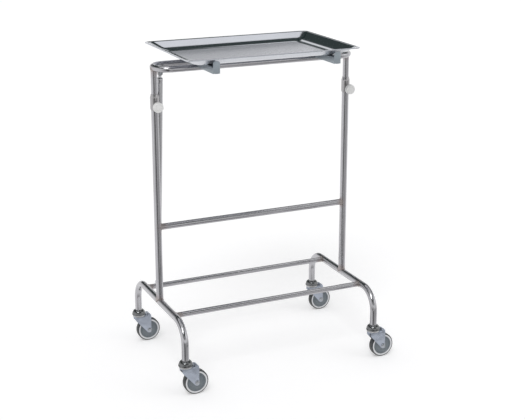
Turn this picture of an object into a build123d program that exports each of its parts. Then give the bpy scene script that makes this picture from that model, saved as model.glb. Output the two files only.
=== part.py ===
from build123d import *
import os
from math import asin, atan2, cos, degrees, hypot, radians, sin

# Two-post instrument stand on four swivel casters, stainless tube and sheet, millimetres.
# +Z is up, +X runs along the width from the left post to the right one, -Y is the front.
# The origin lies on the floor under the middle of the whole stand's box.

# Frame tubes
post_spacing = 730.0        # between the two post axes
stem_depth = 492.0          # between the front and rear caster stems
post_d = 25.0
post_wall = 1.2
leg_d = 25.0
leg_wall = 1.5
leg_bend_r = 75.0           # centre line of each leg's bend
leg_axis_z = 251.0          # leg centre line above the floor
rail_d = 19.0
rail_wall = 1.2
rail_y = 145.0              # base rails stand this far in front of and behind the posts
cross_bar_d = 22.0
cross_bar_wall = 1.2
cross_bar_z = 527.0

# Clamp collars, knobs, screws
collar_z = 943.0            # underside of the collar
collar_h = 56.0
collar_d = 30.0
collar_lip_h = 4.0          # lip over the post's end
collar_top_taper = 11.0
collar_low_taper = 6.0
collar_edge = 0.4           # flat left at the thin ends of the tapers
boss_d = 16.0
boss_reach = 22.0           # boss face in front of the post axis
screw_rise = 16.0           # screw axis above the collar's underside
screw_d = 8.0
knob_d = 36.0
knob_h = 15.0
knob_neck_d = 19.0
knob_neck_h = 5.0
knob_gap = 1.0              # between boss and knob neck when tight
knob_round = 3.5
knob_dish_d = 22.0
knob_dish_depth = 1.2
knob_skin = 4.0             # plastic left in front of the screw's end
pad_d = 7.0
pad_h = 3.0

# Telescoping top frame
inner_d = 22.0
inner_wall = 1.2
inner_len = 746.0           # below the ring's centre line
slide_gap = 0.3             # inner tube in post, radial
glide_h = 14.0
glide_flange_h = 3.0
ring_tube_d = 22.0
ring_wall = 1.2
ring_bend_r = 51.5          # half the distance between the ring's two long tubes
ring_z = 1088.0             # centre line of the ring
arm_x = 221.0               # tray arms, from the middle of the stand
arm_w = 24.0
arm_t = 2.0
arm_half_len = 203.0
arm_rise = 12.8             # arm top above the ring tube's top
arm_drop = 21.5             # flange height below the tray
lug_h = 20.5                # upturned end above the arm
lug_t = 2.5
lug_chamfer = 5.0
lug_round = 2.0

# Tray
tray_w = 632.0
tray_d = 420.0
tray_shift_x = -9.0         # tray centre from the middle of the posts
tray_floor_w = 528.0
tray_floor_d = 316.0
tray_floor_r = 22.0
tray_wall_r = 30.0
tray_rim_r = 12.0
tray_depth = 29.0
tray_t = 1.2
tray_rim_w = 6.0
tray_hem_h = 4.0

# Lift strut
strut_y = 25.0              # behind the left post's axis
strut_d = 22.0
strut_wall = 1.2
strut_rod_d = 10.0
strut_body_len = 550.0
strut_rod_len = 640.0
strut_top_dx = 29.8         # upper pivot to the right of the left post's axis
strut_top_drop = 24.0       # upper pivot below the ring's centre line
strut_low_dx = 3.0
strut_low_z = 312.0
eye_d = 18.0
eye_t = 12.0
neck_d = 12.0
neck_len = 16.0
gland_len = 18.0
gland_flange_t = 3.0
piston_h = 12.0
pin_d = 8.0
low_pin_d = 6.0
low_eye_bore = 8.2          # roomy, because the lower pivot also takes the small change of angle
ear_gap = 0.3
ear_t = 3.0
ear_w = 16.0
gusset_t = 3.0
gusset_len = 52.0
pin_head_t = 2.0
pin_head_d = 11.0

# Casters
wheel_d = 88.0
tyre_w = 24.0
tyre_t = 4.0
tyre_round = 2.5
trail = 35.0
axle_d = 8.0
hub_d = 20.0
fork_in_w = 29.0
fork_t = 2.5
fork_bend_r = 6.5           # outside radius between the fork's crown and its cheeks
crown_z = 103.0             # top of the fork crown
crown_r = 22.0              # rounded heel of the crown, seen from above
head_d = 50.0
head_base_z = 108.0
head_lip_h = 3.0            # upright lip round the dome
head_top_z = 128.0
race_d = 46.0
race_bore = 26.0
kingpin_d = 12.0
rivet_d = 19.0
rivet_h = 3.5
rivet_bevel = 2.0
stem_len = 40.0
stem_gap = 0.15
foot_r = 10.5               # round end of each cheek
heel_drop = 9.0             # upright edge at the cheek's heel, below the crown
hood_rise = 6.0             # hood above the crown
step_x = 26.0               # where the crown starts to rise to the hood
step_run = 6.0
hood_round = 12.0
hood_skirt = 20.0           # rear wall of the hood, below the hood's top
run_fit = 0.05              # radial clearance of pins and shafts
face_gap = 0.3              # between moving faces
bolt_head_d = 13.0
bolt_head_h = 4.5
nut_h = 5.5
shank_end = 1.0             # bolt left past the nut
core_web_t = 5.0
core_ring_w = 6.0           # pale ring of the wheel core, inside the tyre
core_ring_set = 0.6         # ring face behind the tyre's side
core_slope = 1.5            # taper between the core's web and its ring
guard_t = 1.6
guard_lip = 3.0

# Worked out from the sizes above
axle_z = wheel_d / 2
rivet_top_z = crown_z - fork_t - face_gap
half_spacing = post_spacing / 2
mid_x = -(wheel_d / 2 + trail - head_d / 2) / 2
left_x = mid_x - half_spacing
right_x = mid_x + half_spacing
half_depth = stem_depth / 2
post_bore = post_d - 2 * post_wall
collar_top = collar_z + collar_h
post_top = collar_top - collar_lip_h
screw_z = collar_z + screw_rise
ring_half_run = half_spacing - ring_bend_r
arm_top_z = ring_z + ring_tube_d / 2 + arm_rise
arm_low_z = arm_top_z - arm_drop
tray_low_z = arm_top_z
tray_rim_z = tray_low_z + tray_t + tray_depth
strut_top_z = ring_z - strut_top_drop
strut_run_x = strut_top_dx - strut_low_dx
strut_run_z = strut_top_z - strut_low_z
strut_len = hypot(strut_run_x, strut_run_z)
strut_tilt = degrees(atan2(strut_run_x, strut_run_z))
strut_plane = Plane(
    origin=(left_x + strut_top_dx, strut_y, strut_top_z),
    x_dir=(cos(radians(strut_tilt)), 0, -sin(radians(strut_tilt))),
    z_dir=(sin(radians(strut_tilt)), 0, cos(radians(strut_tilt))),
)
sides = {"left": left_x, "right": right_x}
corners = {
    "front_left": (left_x, -half_depth),
    "front_right": (right_x, -half_depth),
    "rear_left": (left_x, half_depth),
    "rear_right": (right_x, half_depth),
}
along_x = (0, 90, 0)
along_y = (90, 0, 0)

os.makedirs("parts", exist_ok=True)


def save(piece, node, place=(0, 0, 0)):
    placed = piece.moved(Location(place))
    placed.label = node
    export_step(placed, f"parts/{node}.step")


# Legs: one tube each, bent down at both ends
with BuildPart() as leg:
    with BuildLine(Plane.YZ) as leg_path:
        FilletPolyline(
            (-half_depth, head_top_z),
            (-half_depth, leg_axis_z),
            (half_depth, leg_axis_z),
            (half_depth, head_top_z),
            radius=leg_bend_r,
        )
    with BuildSketch(Plane(origin=leg_path.line @ 0, z_dir=leg_path.line % 0)):
        Circle(leg_d / 2)
        Circle(leg_d / 2 - leg_wall, mode=Mode.SUBTRACT)
    sweep()
for side, x in sides.items():
    save(leg.part, f"{side}_leg", (x, 0, 0))

# Base rails: coped to the legs at both ends
with BuildPart() as rail:
    Cylinder(rail_d / 2, post_spacing, rotation=along_x)
    Cylinder(rail_d / 2 - rail_wall, post_spacing, rotation=along_x, mode=Mode.SUBTRACT)
    with Locations((-half_spacing, 0, 0), (half_spacing, 0, 0)):
        Cylinder(leg_d / 2, 2 * leg_d, rotation=along_y, mode=Mode.SUBTRACT)
save(rail.part, "front_base_rail", (mid_x, -rail_y, leg_axis_z))
save(rail.part, "rear_base_rail", (mid_x, rail_y, leg_axis_z))

# Posts: saddled on the legs, with a hole for the clamp screw
with BuildPart() as post:
    with BuildSketch(Plane.XY.offset(leg_axis_z)):
        Circle(post_d / 2)
        Circle(post_bore / 2, mode=Mode.SUBTRACT)
    extrude(amount=post_top - leg_axis_z)
    with Locations((0, 0, leg_axis_z)):
        Cylinder(leg_d / 2, 2 * post_d, rotation=along_y, mode=Mode.SUBTRACT)
    with Locations((0, -post_d / 2, screw_z)):
        Cylinder(screw_d / 2 + face_gap, post_d / 2, rotation=along_y, mode=Mode.SUBTRACT)
for side, x in sides.items():
    save(post.part, f"{side}_post", (x, 0, 0))

# Cross bar between the posts
with BuildPart() as cross_bar:
    Cylinder(cross_bar_d / 2, post_spacing, rotation=along_x)
    Cylinder(
        cross_bar_d / 2 - cross_bar_wall, post_spacing, rotation=along_x, mode=Mode.SUBTRACT
    )
    with Locations((-half_spacing, 0, 0), (half_spacing, 0, 0)):
        Cylinder(post_d / 2, 2 * post_d, mode=Mode.SUBTRACT)
save(cross_bar.part, "cross_bar", (mid_x, 0, cross_bar_z))

# Collars: turned sleeves with tapered ends and a boss for the clamp screw
with BuildPart() as collar:
    with BuildSketch(Plane.XZ):
        Polygon(
            (post_d / 2, collar_z),
            (post_d / 2 + collar_edge, collar_z),
            (collar_d / 2, collar_z + collar_low_taper),
            (collar_d / 2, collar_top - collar_top_taper),
            (inner_d / 2 + slide_gap + 2 * collar_edge, collar_top),
            (inner_d / 2 + slide_gap, collar_top),
            (inner_d / 2 + slide_gap, post_top),
            (post_d / 2, post_top),
            align=None,
        )
    revolve(axis=Axis.Z)
    with Locations((0, -boss_reach / 2, screw_z)):
        Cylinder(boss_d / 2, boss_reach, rotation=along_y)
    with Locations((0, 0, collar_z + (collar_h - collar_lip_h) / 2)):
        Cylinder(post_d / 2, collar_h - collar_lip_h, mode=Mode.SUBTRACT)
    with Locations((0, -boss_reach / 2, screw_z)):
        Cylinder(screw_d / 2 + run_fit, boss_reach, rotation=along_y, mode=Mode.SUBTRACT)
for side, x in sides.items():
    save(collar.part, f"{side}_collar", (x, 0, 0))

# Clamp pads, screws and knobs, drawn on the screw's own axis
pad_y = inner_d / 2 + face_gap / 2
knob_y = boss_reach + knob_gap
with BuildPart() as pad:
    with BuildSketch(Plane.XZ.offset(pad_y)):
        Circle(pad_d / 2)
    extrude(amount=pad_h)
with BuildPart() as screw:
    with BuildSketch(Plane.XZ.offset(pad_y + pad_h)):
        Circle(screw_d / 2)
    extrude(amount=knob_y + knob_neck_h + knob_h - knob_skin - pad_y - pad_h)
with BuildPart() as knob:
    with BuildSketch(Plane.XZ.offset(knob_y)):
        Circle(knob_neck_d / 2)
    extrude(amount=knob_neck_h)
    with BuildSketch(Plane.XZ.offset(knob_y + knob_neck_h)):
        Circle(knob_d / 2)
    extrude(amount=knob_h)
    grip_edges = knob.edges().filter_by(GeomType.CIRCLE).filter_by(
        lambda edge: abs(edge.radius - knob_d / 2) < run_fit
    )
    fillet(grip_edges, knob_round)
    with BuildSketch(Plane.XZ.offset(knob_y + knob_neck_h + knob_h)):
        Circle(knob_dish_d / 2)
    extrude(amount=-knob_dish_depth, mode=Mode.SUBTRACT)
    with BuildSketch(Plane.XZ.offset(knob_y)):
        Circle(screw_d / 2)
    extrude(amount=knob_neck_h + knob_h - knob_skin, mode=Mode.SUBTRACT)
for side, x in sides.items():
    save(pad.part, f"{side}_clamp_pad", (x, 0, screw_z))
    save(screw.part, f"{side}_clamp_screw", (x, 0, screw_z))
    save(knob.part, f"{side}_clamp_knob", (x, 0, screw_z))

# Inner tubes: coped under the ring's end bends, with a nylon glide in the foot
inner_low_z = ring_z - inner_len
for side, inward in (("left", 1), ("right", -1)):
    with BuildPart() as inner_tube:
        with BuildSketch(Plane.XY.offset(inner_low_z)):
            Circle(inner_d / 2)
            Circle(inner_d / 2 - inner_wall, mode=Mode.SUBTRACT)
        extrude(amount=inner_len)
        with Locations((inward * ring_bend_r, 0, ring_z)):
            Torus(ring_bend_r, ring_tube_d / 2, mode=Mode.SUBTRACT)
        lower_piece = inner_tube.solids().sort_by(Axis.Z)[0]
    save(lower_piece, f"{side}_inner_tube", (sides[side], 0, 0))

with BuildPart() as glide:
    with BuildSketch(Plane.XY.offset(inner_low_z - glide_flange_h)):
        Circle(inner_d / 2 + slide_gap / 2)
    extrude(amount=glide_flange_h)
    with BuildSketch(Plane.XY.offset(inner_low_z)):
        Circle(inner_d / 2 - inner_wall)
    extrude(amount=glide_h)
    with BuildSketch(Plane.XY.offset(inner_low_z - glide_flange_h)):
        Circle(inner_d / 4)
    extrude(amount=glide_h + glide_flange_h, mode=Mode.SUBTRACT)
for side, x in sides.items():
    save(glide.part, f"{side}_tube_glide", (x, 0, 0))

# Support ring: one tube bent into a closed loop with round ends
with BuildPart() as ring:
    with BuildLine(Plane.XY) as ring_path:
        Line((-ring_half_run, -ring_bend_r), (ring_half_run, -ring_bend_r))
        ThreePointArc(
            (ring_half_run, -ring_bend_r), (half_spacing, 0), (ring_half_run, ring_bend_r)
        )
        Line((ring_half_run, ring_bend_r), (-ring_half_run, ring_bend_r))
        ThreePointArc(
            (-ring_half_run, ring_bend_r), (-half_spacing, 0), (-ring_half_run, -ring_bend_r)
        )
    with BuildSketch(Plane(origin=ring_path.line @ 0, z_dir=ring_path.line % 0)):
        Circle(ring_tube_d / 2)
        Circle(ring_tube_d / 2 - ring_wall, mode=Mode.SUBTRACT)
    sweep()
save(ring.part, "tray_support_ring", (mid_x, 0, ring_z))

# Tray arms: folded channels across the ring, with an upturned lug at each end
with BuildPart() as arm:
    with BuildSketch(Plane.XZ.offset(-arm_half_len)):
        with Locations((0, arm_top_z)):
            Rectangle(arm_w, arm_drop, align=(Align.CENTER, Align.MAX))
        with Locations((0, arm_top_z - arm_t)):
            Rectangle(
                arm_w - 2 * arm_t, arm_drop, align=(Align.CENTER, Align.MAX), mode=Mode.SUBTRACT
            )
    extrude(amount=2 * arm_half_len)
    with Locations((0, -ring_bend_r, ring_z), (0, ring_bend_r, ring_z)):
        Cylinder(ring_tube_d / 2, 2 * arm_w, rotation=along_x, mode=Mode.SUBTRACT)
    for lug_plane_y in (-arm_half_len + lug_t, arm_half_len):
        with BuildSketch(Plane.XZ.offset(-lug_plane_y)) as lug_face:
            with Locations((0, arm_low_z)):
                Rectangle(arm_w, arm_drop + lug_h, align=(Align.CENTER, Align.MIN))
            low_corners = lug_face.vertices().group_by(Axis.Z)[0]
            chamfer(low_corners, lug_chamfer)
            top_corners = lug_face.vertices().group_by(Axis.Z)[-1]
            fillet(top_corners, lug_round)
        extrude(amount=lug_t)
save(arm.part, "left_tray_arm", (mid_x - arm_x, 0, 0))
save(arm.part, "right_tray_arm", (mid_x + arm_x, 0, 0))

# Tray: pressed sheet with a flat floor, sloping walls and a hemmed rim
rim_in_w = tray_w - 2 * tray_rim_w
rim_in_d = tray_d - 2 * tray_rim_w
with BuildPart() as tray:
    with BuildSketch(Plane.XY.offset(tray_low_z)):
        RectangleRounded(tray_floor_w, tray_floor_d, tray_floor_r)
    with BuildSketch(Plane.XY.offset(tray_rim_z - tray_t)):
        RectangleRounded(rim_in_w, rim_in_d, tray_wall_r)
    loft(ruled=True)
    with BuildSketch(Plane.XY.offset(tray_rim_z - tray_t)):
        RectangleRounded(tray_w, tray_d, tray_rim_r)
    extrude(amount=tray_t)
    with BuildSketch(Plane.XY.offset(tray_rim_z - tray_t)):
        RectangleRounded(tray_w, tray_d, tray_rim_r)
        RectangleRounded(
            tray_w - 2 * tray_t, tray_d - 2 * tray_t, tray_rim_r - tray_t, mode=Mode.SUBTRACT
        )
    extrude(amount=-tray_hem_h)
    with BuildSketch(Plane.XY.offset(tray_low_z + tray_t)):
        RectangleRounded(tray_floor_w, tray_floor_d, tray_floor_r)
    with BuildSketch(Plane.XY.offset(tray_rim_z)):
        RectangleRounded(rim_in_w, rim_in_d, tray_wall_r)
    loft(ruled=True, mode=Mode.SUBTRACT)
save(tray.part, "tray", (mid_x + tray_shift_x, 0, 0))

# Upper strut bracket: a gusset in the ring's left bend with two ears below it
ear_in = eye_t / 2 + ear_gap
gusset_top_z = ring_z - 8.5
gusset_reach = ring_bend_r - (
    (ring_tube_d / 2) ** 2 - (ring_z - gusset_top_z) ** 2
) ** 0.5
with BuildPart() as upper_bracket:
    with BuildSketch(Plane.XY.offset(gusset_top_z)):
        with Locations((ring_bend_r, 0)):
            Circle(gusset_reach)
        with Locations((0, 0)):
            Rectangle(gusset_len, 2 * ring_bend_r, align=(Align.MIN, Align.CENTER),
                      mode=Mode.INTERSECT)
        Circle(inner_d / 2 + run_fit, mode=Mode.SUBTRACT)
    extrude(amount=-gusset_t)
    for ear_y in (strut_y - ear_in, strut_y + ear_in + ear_t):
        with BuildSketch(Plane.XZ.offset(-ear_y)):
            with Locations((strut_top_dx, strut_top_z)):
                Circle(ear_w / 2)
                Rectangle(
                    ear_w,
                    gusset_top_z - gusset_t - strut_top_z,
                    align=(Align.CENTER, Align.MIN),
                )
                Circle(pin_d / 2 + run_fit, mode=Mode.SUBTRACT)
        extrude(amount=ear_t)
save(upper_bracket.part, "upper_strut_bracket", (left_x, 0, 0))

# Lower strut bracket: a bent strap welded behind the left post
strap_low_z = strut_low_z - eye_d / 2 - 2 * ear_t
strap_back_y = strut_y + ear_in + ear_t
with BuildPart() as lower_bracket:
    with BuildSketch(Plane.XY.offset(strap_low_z)):
        with Locations((strut_low_dx, post_d / 4)):
            Rectangle(ear_w, strap_back_y - post_d / 4, align=(Align.CENTER, Align.MIN))
        Circle(post_d / 2, mode=Mode.SUBTRACT)
    extrude(amount=ear_t)
    for ear_y in (strut_y - ear_in, strap_back_y):
        with BuildSketch(Plane.XZ.offset(-ear_y)):
            with Locations((strut_low_dx, strut_low_z)):
                Circle(ear_w / 2)
                Rectangle(
                    ear_w, strut_low_z - strap_low_z, align=(Align.CENTER, Align.MAX)
                )
                Circle(low_pin_d / 2 + run_fit, mode=Mode.SUBTRACT)
        extrude(amount=ear_t)
save(lower_bracket.part, "lower_strut_bracket", (left_x, 0, 0))

# Pivot pins with a head at each end
pin_half_len = ear_in + ear_t + run_fit
for node, diameter, dx, z in (
    ("upper_strut_pin", pin_d, strut_top_dx, strut_top_z),
    ("lower_strut_pin", low_pin_d, strut_low_dx, strut_low_z),
):
    with BuildPart() as pin:
        Cylinder(diameter / 2, 2 * pin_half_len, rotation=along_y)
        for head_y in (-pin_half_len - pin_head_t / 2, pin_half_len + pin_head_t / 2):
            with Locations((0, head_y, 0)):
                Cylinder(pin_head_d / 2, pin_head_t, rotation=along_y)
    save(pin.part, node, (left_x + dx, strut_y, z))

# Strut, drawn along its own leaning axis from the upper pivot down
with BuildPart(strut_plane) as strut_cylinder:
    with Locations((0, 0, -neck_len - strut_body_len / 2)):
        Cylinder(strut_d / 2, strut_body_len)
    with Locations((0, 0, -neck_len - strut_body_len / 2 - neck_len / 2)):
        Cylinder(strut_d / 2 - strut_wall, strut_body_len - neck_len, mode=Mode.SUBTRACT)
    with Locations((0, 0, -neck_len / 2)):
        Cylinder(neck_d / 2, neck_len)
    Cylinder(eye_d / 2, 2 * eye_d, rotation=along_y)
    for side_y in (-1, 1):
        with Locations((0, side_y * (eye_t / 2 + eye_d), 0)):
            Box(2 * eye_d, 2 * eye_d, eye_d, mode=Mode.SUBTRACT)
    Cylinder(pin_d / 2 + run_fit, 2 * eye_t, rotation=along_y, mode=Mode.SUBTRACT)
save(strut_cylinder.part, "strut_cylinder")

strut_end_z = -neck_len - strut_body_len
with BuildPart(strut_plane) as strut_gland:
    with Locations((0, 0, strut_end_z + gland_len / 2)):
        Cylinder(strut_d / 2 - strut_wall, gland_len)
    with Locations((0, 0, strut_end_z - gland_flange_t / 2)):
        Cylinder(strut_d / 2, gland_flange_t)
    with Locations((0, 0, strut_end_z)):
        Cylinder(strut_rod_d / 2 + run_fit, 3 * gland_len, mode=Mode.SUBTRACT)
save(strut_gland.part, "strut_gland")

rod_low_z = -strut_len + low_eye_bore / 2 + run_fit
rod_top_z = rod_low_z + strut_rod_len
with BuildPart(strut_plane) as strut_rod:
    with Locations((0, 0, (rod_low_z + rod_top_z) / 2)):
        Cylinder(strut_rod_d / 2, strut_rod_len)
    with Locations((0, 0, -strut_len)):
        Cylinder(eye_d / 2, eye_t, rotation=along_y)
        Cylinder(low_eye_bore / 2, 2 * eye_t, rotation=along_y, mode=Mode.SUBTRACT)
save(strut_rod.part, "strut_rod")

with BuildPart(strut_plane) as strut_piston:
    with Locations((0, 0, rod_top_z - piston_h / 2)):
        Cylinder(strut_d / 2 - strut_wall - run_fit, piston_h)
        Cylinder(strut_rod_d / 2, piston_h, mode=Mode.SUBTRACT)
save(strut_piston.part, "strut_piston")

# Caster stem and domed swivel head, with the kingpin riveted under the fork crown
with BuildPart() as caster_head:
    with BuildSketch(Plane.XZ):
        with BuildLine():
            Line((0, head_top_z), (leg_d / 2, head_top_z))
            Spline(
                (leg_d / 2, head_top_z),
                (head_d / 2, head_base_z + head_lip_h),
                tangents=((1, -0.25), (0, -1)),
            )
            Polyline(
                (head_d / 2, head_base_z + head_lip_h),
                (head_d / 2, head_base_z),
                (kingpin_d / 2, head_base_z),
                (kingpin_d / 2, rivet_top_z),
                (rivet_d / 2, rivet_top_z),
                (rivet_d / 2 - rivet_bevel, rivet_top_z - rivet_h),
                (0, rivet_top_z - rivet_h),
                (0, head_top_z),
            )
        make_face()
    revolve(axis=Axis.Z)
    with Locations((0, 0, head_top_z + stem_len / 2)):
        Cylinder(leg_d / 2 - leg_wall - stem_gap, stem_len)

# Swivel race, a hardened ring between the head and the fork crown
with BuildPart() as caster_race:
    with BuildSketch(Plane.XY.offset(crown_z + face_gap)):
        Circle(race_d / 2)
        Circle(race_bore / 2, mode=Mode.SUBTRACT)
    extrude(amount=head_base_z - crown_z - face_gap)

# Fork: pressed sheet with a crown, a hood over the wheel and two cheeks that taper to the axle
cheek_w = fork_in_w + 2 * fork_t
hood_z = crown_z + hood_rise
heel_z = crown_z - heel_drop
hood_x = trail + foot_r
skirt_z = hood_z - hood_skirt
heel_to_foot = hypot(trail + crown_r, heel_z - axle_z)
slant = atan2(axle_z - heel_z, trail + crown_r) - asin(foot_r / heel_to_foot)
foot_left = (trail + foot_r * sin(slant), axle_z - foot_r * cos(slant))


def pressed_top(inset, half_w, bend_r):
    # the crown, the step beside the swivel head and the hood, with bent edges, moved in by inset
    with BuildPart() as pressing:
        with BuildSketch(Plane.XZ.offset(-half_w)):
            with BuildLine():
                Line((-2 * crown_r, crown_z - inset), (step_x, crown_z - inset))
                Spline(
                    (step_x, crown_z - inset),
                    (step_x + step_run, hood_z - inset),
                    tangents=((1, 0), (1, 0)),
                )
                Line((step_x + step_run, hood_z - inset), (hood_x - hood_round, hood_z - inset))
                RadiusArc(
                    (hood_x - hood_round, hood_z - inset),
                    (hood_x - inset, hood_z - hood_round),
                    hood_round - inset,
                )
                Polyline(
                    (hood_x - inset, hood_z - hood_round),
                    (hood_x - inset, -foot_r),
                    (-2 * crown_r, -foot_r),
                    (-2 * crown_r, crown_z - inset),
                )
            make_face()
        extrude(amount=2 * half_w)
        low_edges = pressing.edges().filter_by(Axis.X).sort_by(Axis.Z)[:2]
        heel_edges = pressing.edges().filter_by(Axis.Z).sort_by(Axis.X)[:2]
        long_edges = pressing.edges().filter_by(lambda e: abs(e.center().Y) > half_w - 0.01)
        fillet([e for e in long_edges if e not in low_edges and e not in heel_edges], bend_r)
    return pressing.part


with BuildPart() as fork:
    add(pressed_top(0, cheek_w / 2, fork_bend_r))
    add(pressed_top(fork_t, fork_in_w / 2, fork_bend_r - fork_t), mode=Mode.SUBTRACT)
    with BuildSketch(Plane.XZ.offset(-cheek_w)):
        with BuildLine():
            Polyline(
                (-crown_r, heel_z),
                (-crown_r, 2 * crown_z),
                (hood_x, 2 * crown_z),
                (hood_x, axle_z),
            )
            ThreePointArc((hood_x, axle_z), (trail, axle_z - foot_r), foot_left)
            Line(foot_left, (-crown_r, heel_z))
        make_face()
    extrude(amount=2 * cheek_w, mode=Mode.INTERSECT)
    with BuildSketch(Plane.XY):
        Circle(crown_r)
        with Locations((hood_x, 0)):
            Rectangle(2 * hood_x, 2 * cheek_w)
    extrude(amount=2 * crown_z, mode=Mode.INTERSECT)
    with Locations((hood_x, 0, skirt_z / 2)):
        Box(2 * hood_x, fork_in_w, skirt_z, mode=Mode.SUBTRACT)
    with Locations((0, 0, crown_z)):
        Cylinder(kingpin_d / 2 + run_fit, 4 * fork_t, mode=Mode.SUBTRACT)
    with Locations((trail, 0, axle_z)):
        Cylinder(axle_d / 2 + run_fit, 2 * cheek_w, rotation=along_y, mode=Mode.SUBTRACT)

# Axle bolt with a domed head in front and a hexagon nut behind
with BuildPart() as axle_bolt:
    with BuildSketch(Plane.XZ.offset(cheek_w / 2)):
        Circle(bolt_head_d / 2)
    extrude(amount=bolt_head_h)
    fillet(axle_bolt.faces().sort_by(Axis.Y)[0].edges(), bolt_head_h - 1.5)
    with BuildSketch(Plane.XZ.offset(cheek_w / 2)):
        Circle(axle_d / 2)
    extrude(amount=-cheek_w - nut_h - shank_end)
with BuildPart() as axle_nut:
    with BuildSketch(Plane.XZ.offset(-cheek_w / 2)):
        RegularPolygon(bolt_head_d / 2, 6, major_radius=False)
        Circle(axle_d / 2, mode=Mode.SUBTRACT)
    extrude(amount=-nut_h)

# Wheel core, tyre and thread guards, turned about the axle
wheel_plane = Plane(origin=(0, 0, 0), x_dir=(1, 0, 0), z_dir=(0, -1, 0))
core_r = wheel_d / 2 - tyre_t
hub_half = fork_in_w / 2 - face_gap
ring_r = core_r - core_ring_w
ring_half = tyre_w / 2 - core_ring_set
guard_r = ring_r - face_gap
with BuildPart() as wheel_core:
    with BuildSketch(Plane.XY):
        Polygon(
            (axle_d / 2 + run_fit, -hub_half),
            (hub_d / 2, -hub_half),
            (hub_d / 2, -core_web_t / 2),
            (ring_r - core_slope, -core_web_t / 2),
            (ring_r, -ring_half),
            (core_r, -ring_half),
            (core_r, ring_half),
            (ring_r, ring_half),
            (ring_r - core_slope, core_web_t / 2),
            (hub_d / 2, core_web_t / 2),
            (hub_d / 2, hub_half),
            (axle_d / 2 + run_fit, hub_half),
            align=None,
        )
    revolve(axis=Axis.Y)
with BuildPart() as tyre:
    with BuildSketch(Plane.XY) as tyre_profile:
        with Locations(((core_r + wheel_d / 2) / 2, 0)):
            Rectangle(tyre_t, tyre_w)
        shoulder = tyre_profile.vertices().group_by(Axis.X)[-1]
        fillet(shoulder, tyre_round)
    revolve(axis=Axis.Y)
with BuildPart() as guard:
    with BuildSketch(Plane.XY):
        Polygon(
            (hub_d / 2 + face_gap, hub_half - face_gap - guard_t),
            (guard_r - guard_lip, ring_half - guard_t),
            (guard_r, ring_half - guard_t),
            (guard_r, ring_half),
            (guard_r - guard_lip, ring_half),
            (hub_d / 2 + face_gap, hub_half - face_gap),
            align=None,
        )
    revolve(axis=Axis.Y)
far_guard = guard.part.mirror(Plane.XZ)

for corner, (x, y) in corners.items():
    axle_place = (x + trail, y, axle_z)
    save(caster_head.part, f"{corner}_swivel_head", (x, y, 0))
    save(caster_race.part, f"{corner}_swivel_race", (x, y, 0))
    save(fork.part, f"{corner}_fork", (x, y, 0))
    bolt_set = Compound(children=[axle_bolt.part.moved(Location()), axle_nut.part.moved(Location())])
    save(bolt_set, f"{corner}_axle_bolt", axle_place)
    save(wheel_core.part, f"{corner}_wheel", axle_place)
    save(tyre.part, f"{corner}_tyre", axle_place)
    guard_set = Compound(children=[guard.part.moved(Location()), far_guard.moved(Location())])
    save(guard_set, f"{corner}_thread_guards", axle_place)
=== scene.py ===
import bpy
import bmesh
import math
from mathutils import Matrix, Vector


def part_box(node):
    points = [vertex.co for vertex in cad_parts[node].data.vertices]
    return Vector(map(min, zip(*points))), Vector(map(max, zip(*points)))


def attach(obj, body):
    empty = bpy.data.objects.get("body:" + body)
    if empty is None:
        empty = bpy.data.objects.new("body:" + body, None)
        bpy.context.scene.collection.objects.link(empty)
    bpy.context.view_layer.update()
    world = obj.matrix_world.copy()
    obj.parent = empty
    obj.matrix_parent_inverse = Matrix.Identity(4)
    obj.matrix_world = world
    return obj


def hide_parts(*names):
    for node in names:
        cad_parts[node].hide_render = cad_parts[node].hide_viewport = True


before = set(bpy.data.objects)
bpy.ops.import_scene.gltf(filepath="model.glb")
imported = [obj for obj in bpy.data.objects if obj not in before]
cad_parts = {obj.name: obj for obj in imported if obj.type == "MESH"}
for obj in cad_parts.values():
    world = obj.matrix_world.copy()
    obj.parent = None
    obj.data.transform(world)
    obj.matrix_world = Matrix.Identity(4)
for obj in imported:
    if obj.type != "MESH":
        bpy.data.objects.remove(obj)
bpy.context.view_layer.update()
scene = bpy.context.scene
scene.view_settings.view_transform = "Standard"
mm = 0.001
print("frame loaded with", len(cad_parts), "nodes")


# Places read from the frame

def middle(node):
    low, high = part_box(node)
    return (low + high) / 2


leftX = middle("left_post").x
rightX = middle("right_post").x
midX = (leftX + rightX) / 2
legRadius = 12.5 * mm
postRadius = 12.5 * mm
thinRadius = 11.0 * mm      # inner tubes, cross bar and ring
railRadius = 9.5 * mm
traySheet = 1.2 * mm
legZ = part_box("left_leg")[1].z - legRadius
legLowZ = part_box("left_leg")[0].z
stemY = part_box("left_leg")[1].y - legRadius
railY = middle("rear_base_rail").y
crossZ = middle("cross_bar").z
ringZ = middle("tray_support_ring").z
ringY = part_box("tray_support_ring")[1].y - thinRadius
corners = ("front_left", "front_right", "rear_left", "rear_right")


# Node helpers

def feed(tree, socket, source):
    if hasattr(source, "is_output"):
        tree.links.new(source, socket)
    else:
        socket.default_value = source


def feedAll(tree, node, sources):
    for key, source in sources.items():
        feed(tree, node.inputs[key], source)


def addNode(tree, kind, sources=None, **settings):
    node = tree.nodes.new(kind)
    for key, value in settings.items():
        setattr(node, key, value)
    feedAll(tree, node, sources or {})
    return node


def newTree(kind, name, inputs, outputs):       # an input holds a number, or else the kind of its socket
    tree = bpy.data.node_groups.new(name, kind)
    for label, value in inputs.items():
        socket = value if isinstance(value, str) else "Int" if isinstance(value, int) else "Float"
        item = tree.interface.new_socket(name=label, in_out="INPUT", socket_type="NodeSocket" + socket)
        if socket != value:
            item.default_value = value
    for label, socket in outputs.items():
        tree.interface.new_socket(name=label, in_out="OUTPUT", socket_type="NodeSocket" + socket)
    return tree, addNode(tree, "NodeGroupInput").outputs, addNode(tree, "NodeGroupOutput").inputs


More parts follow.
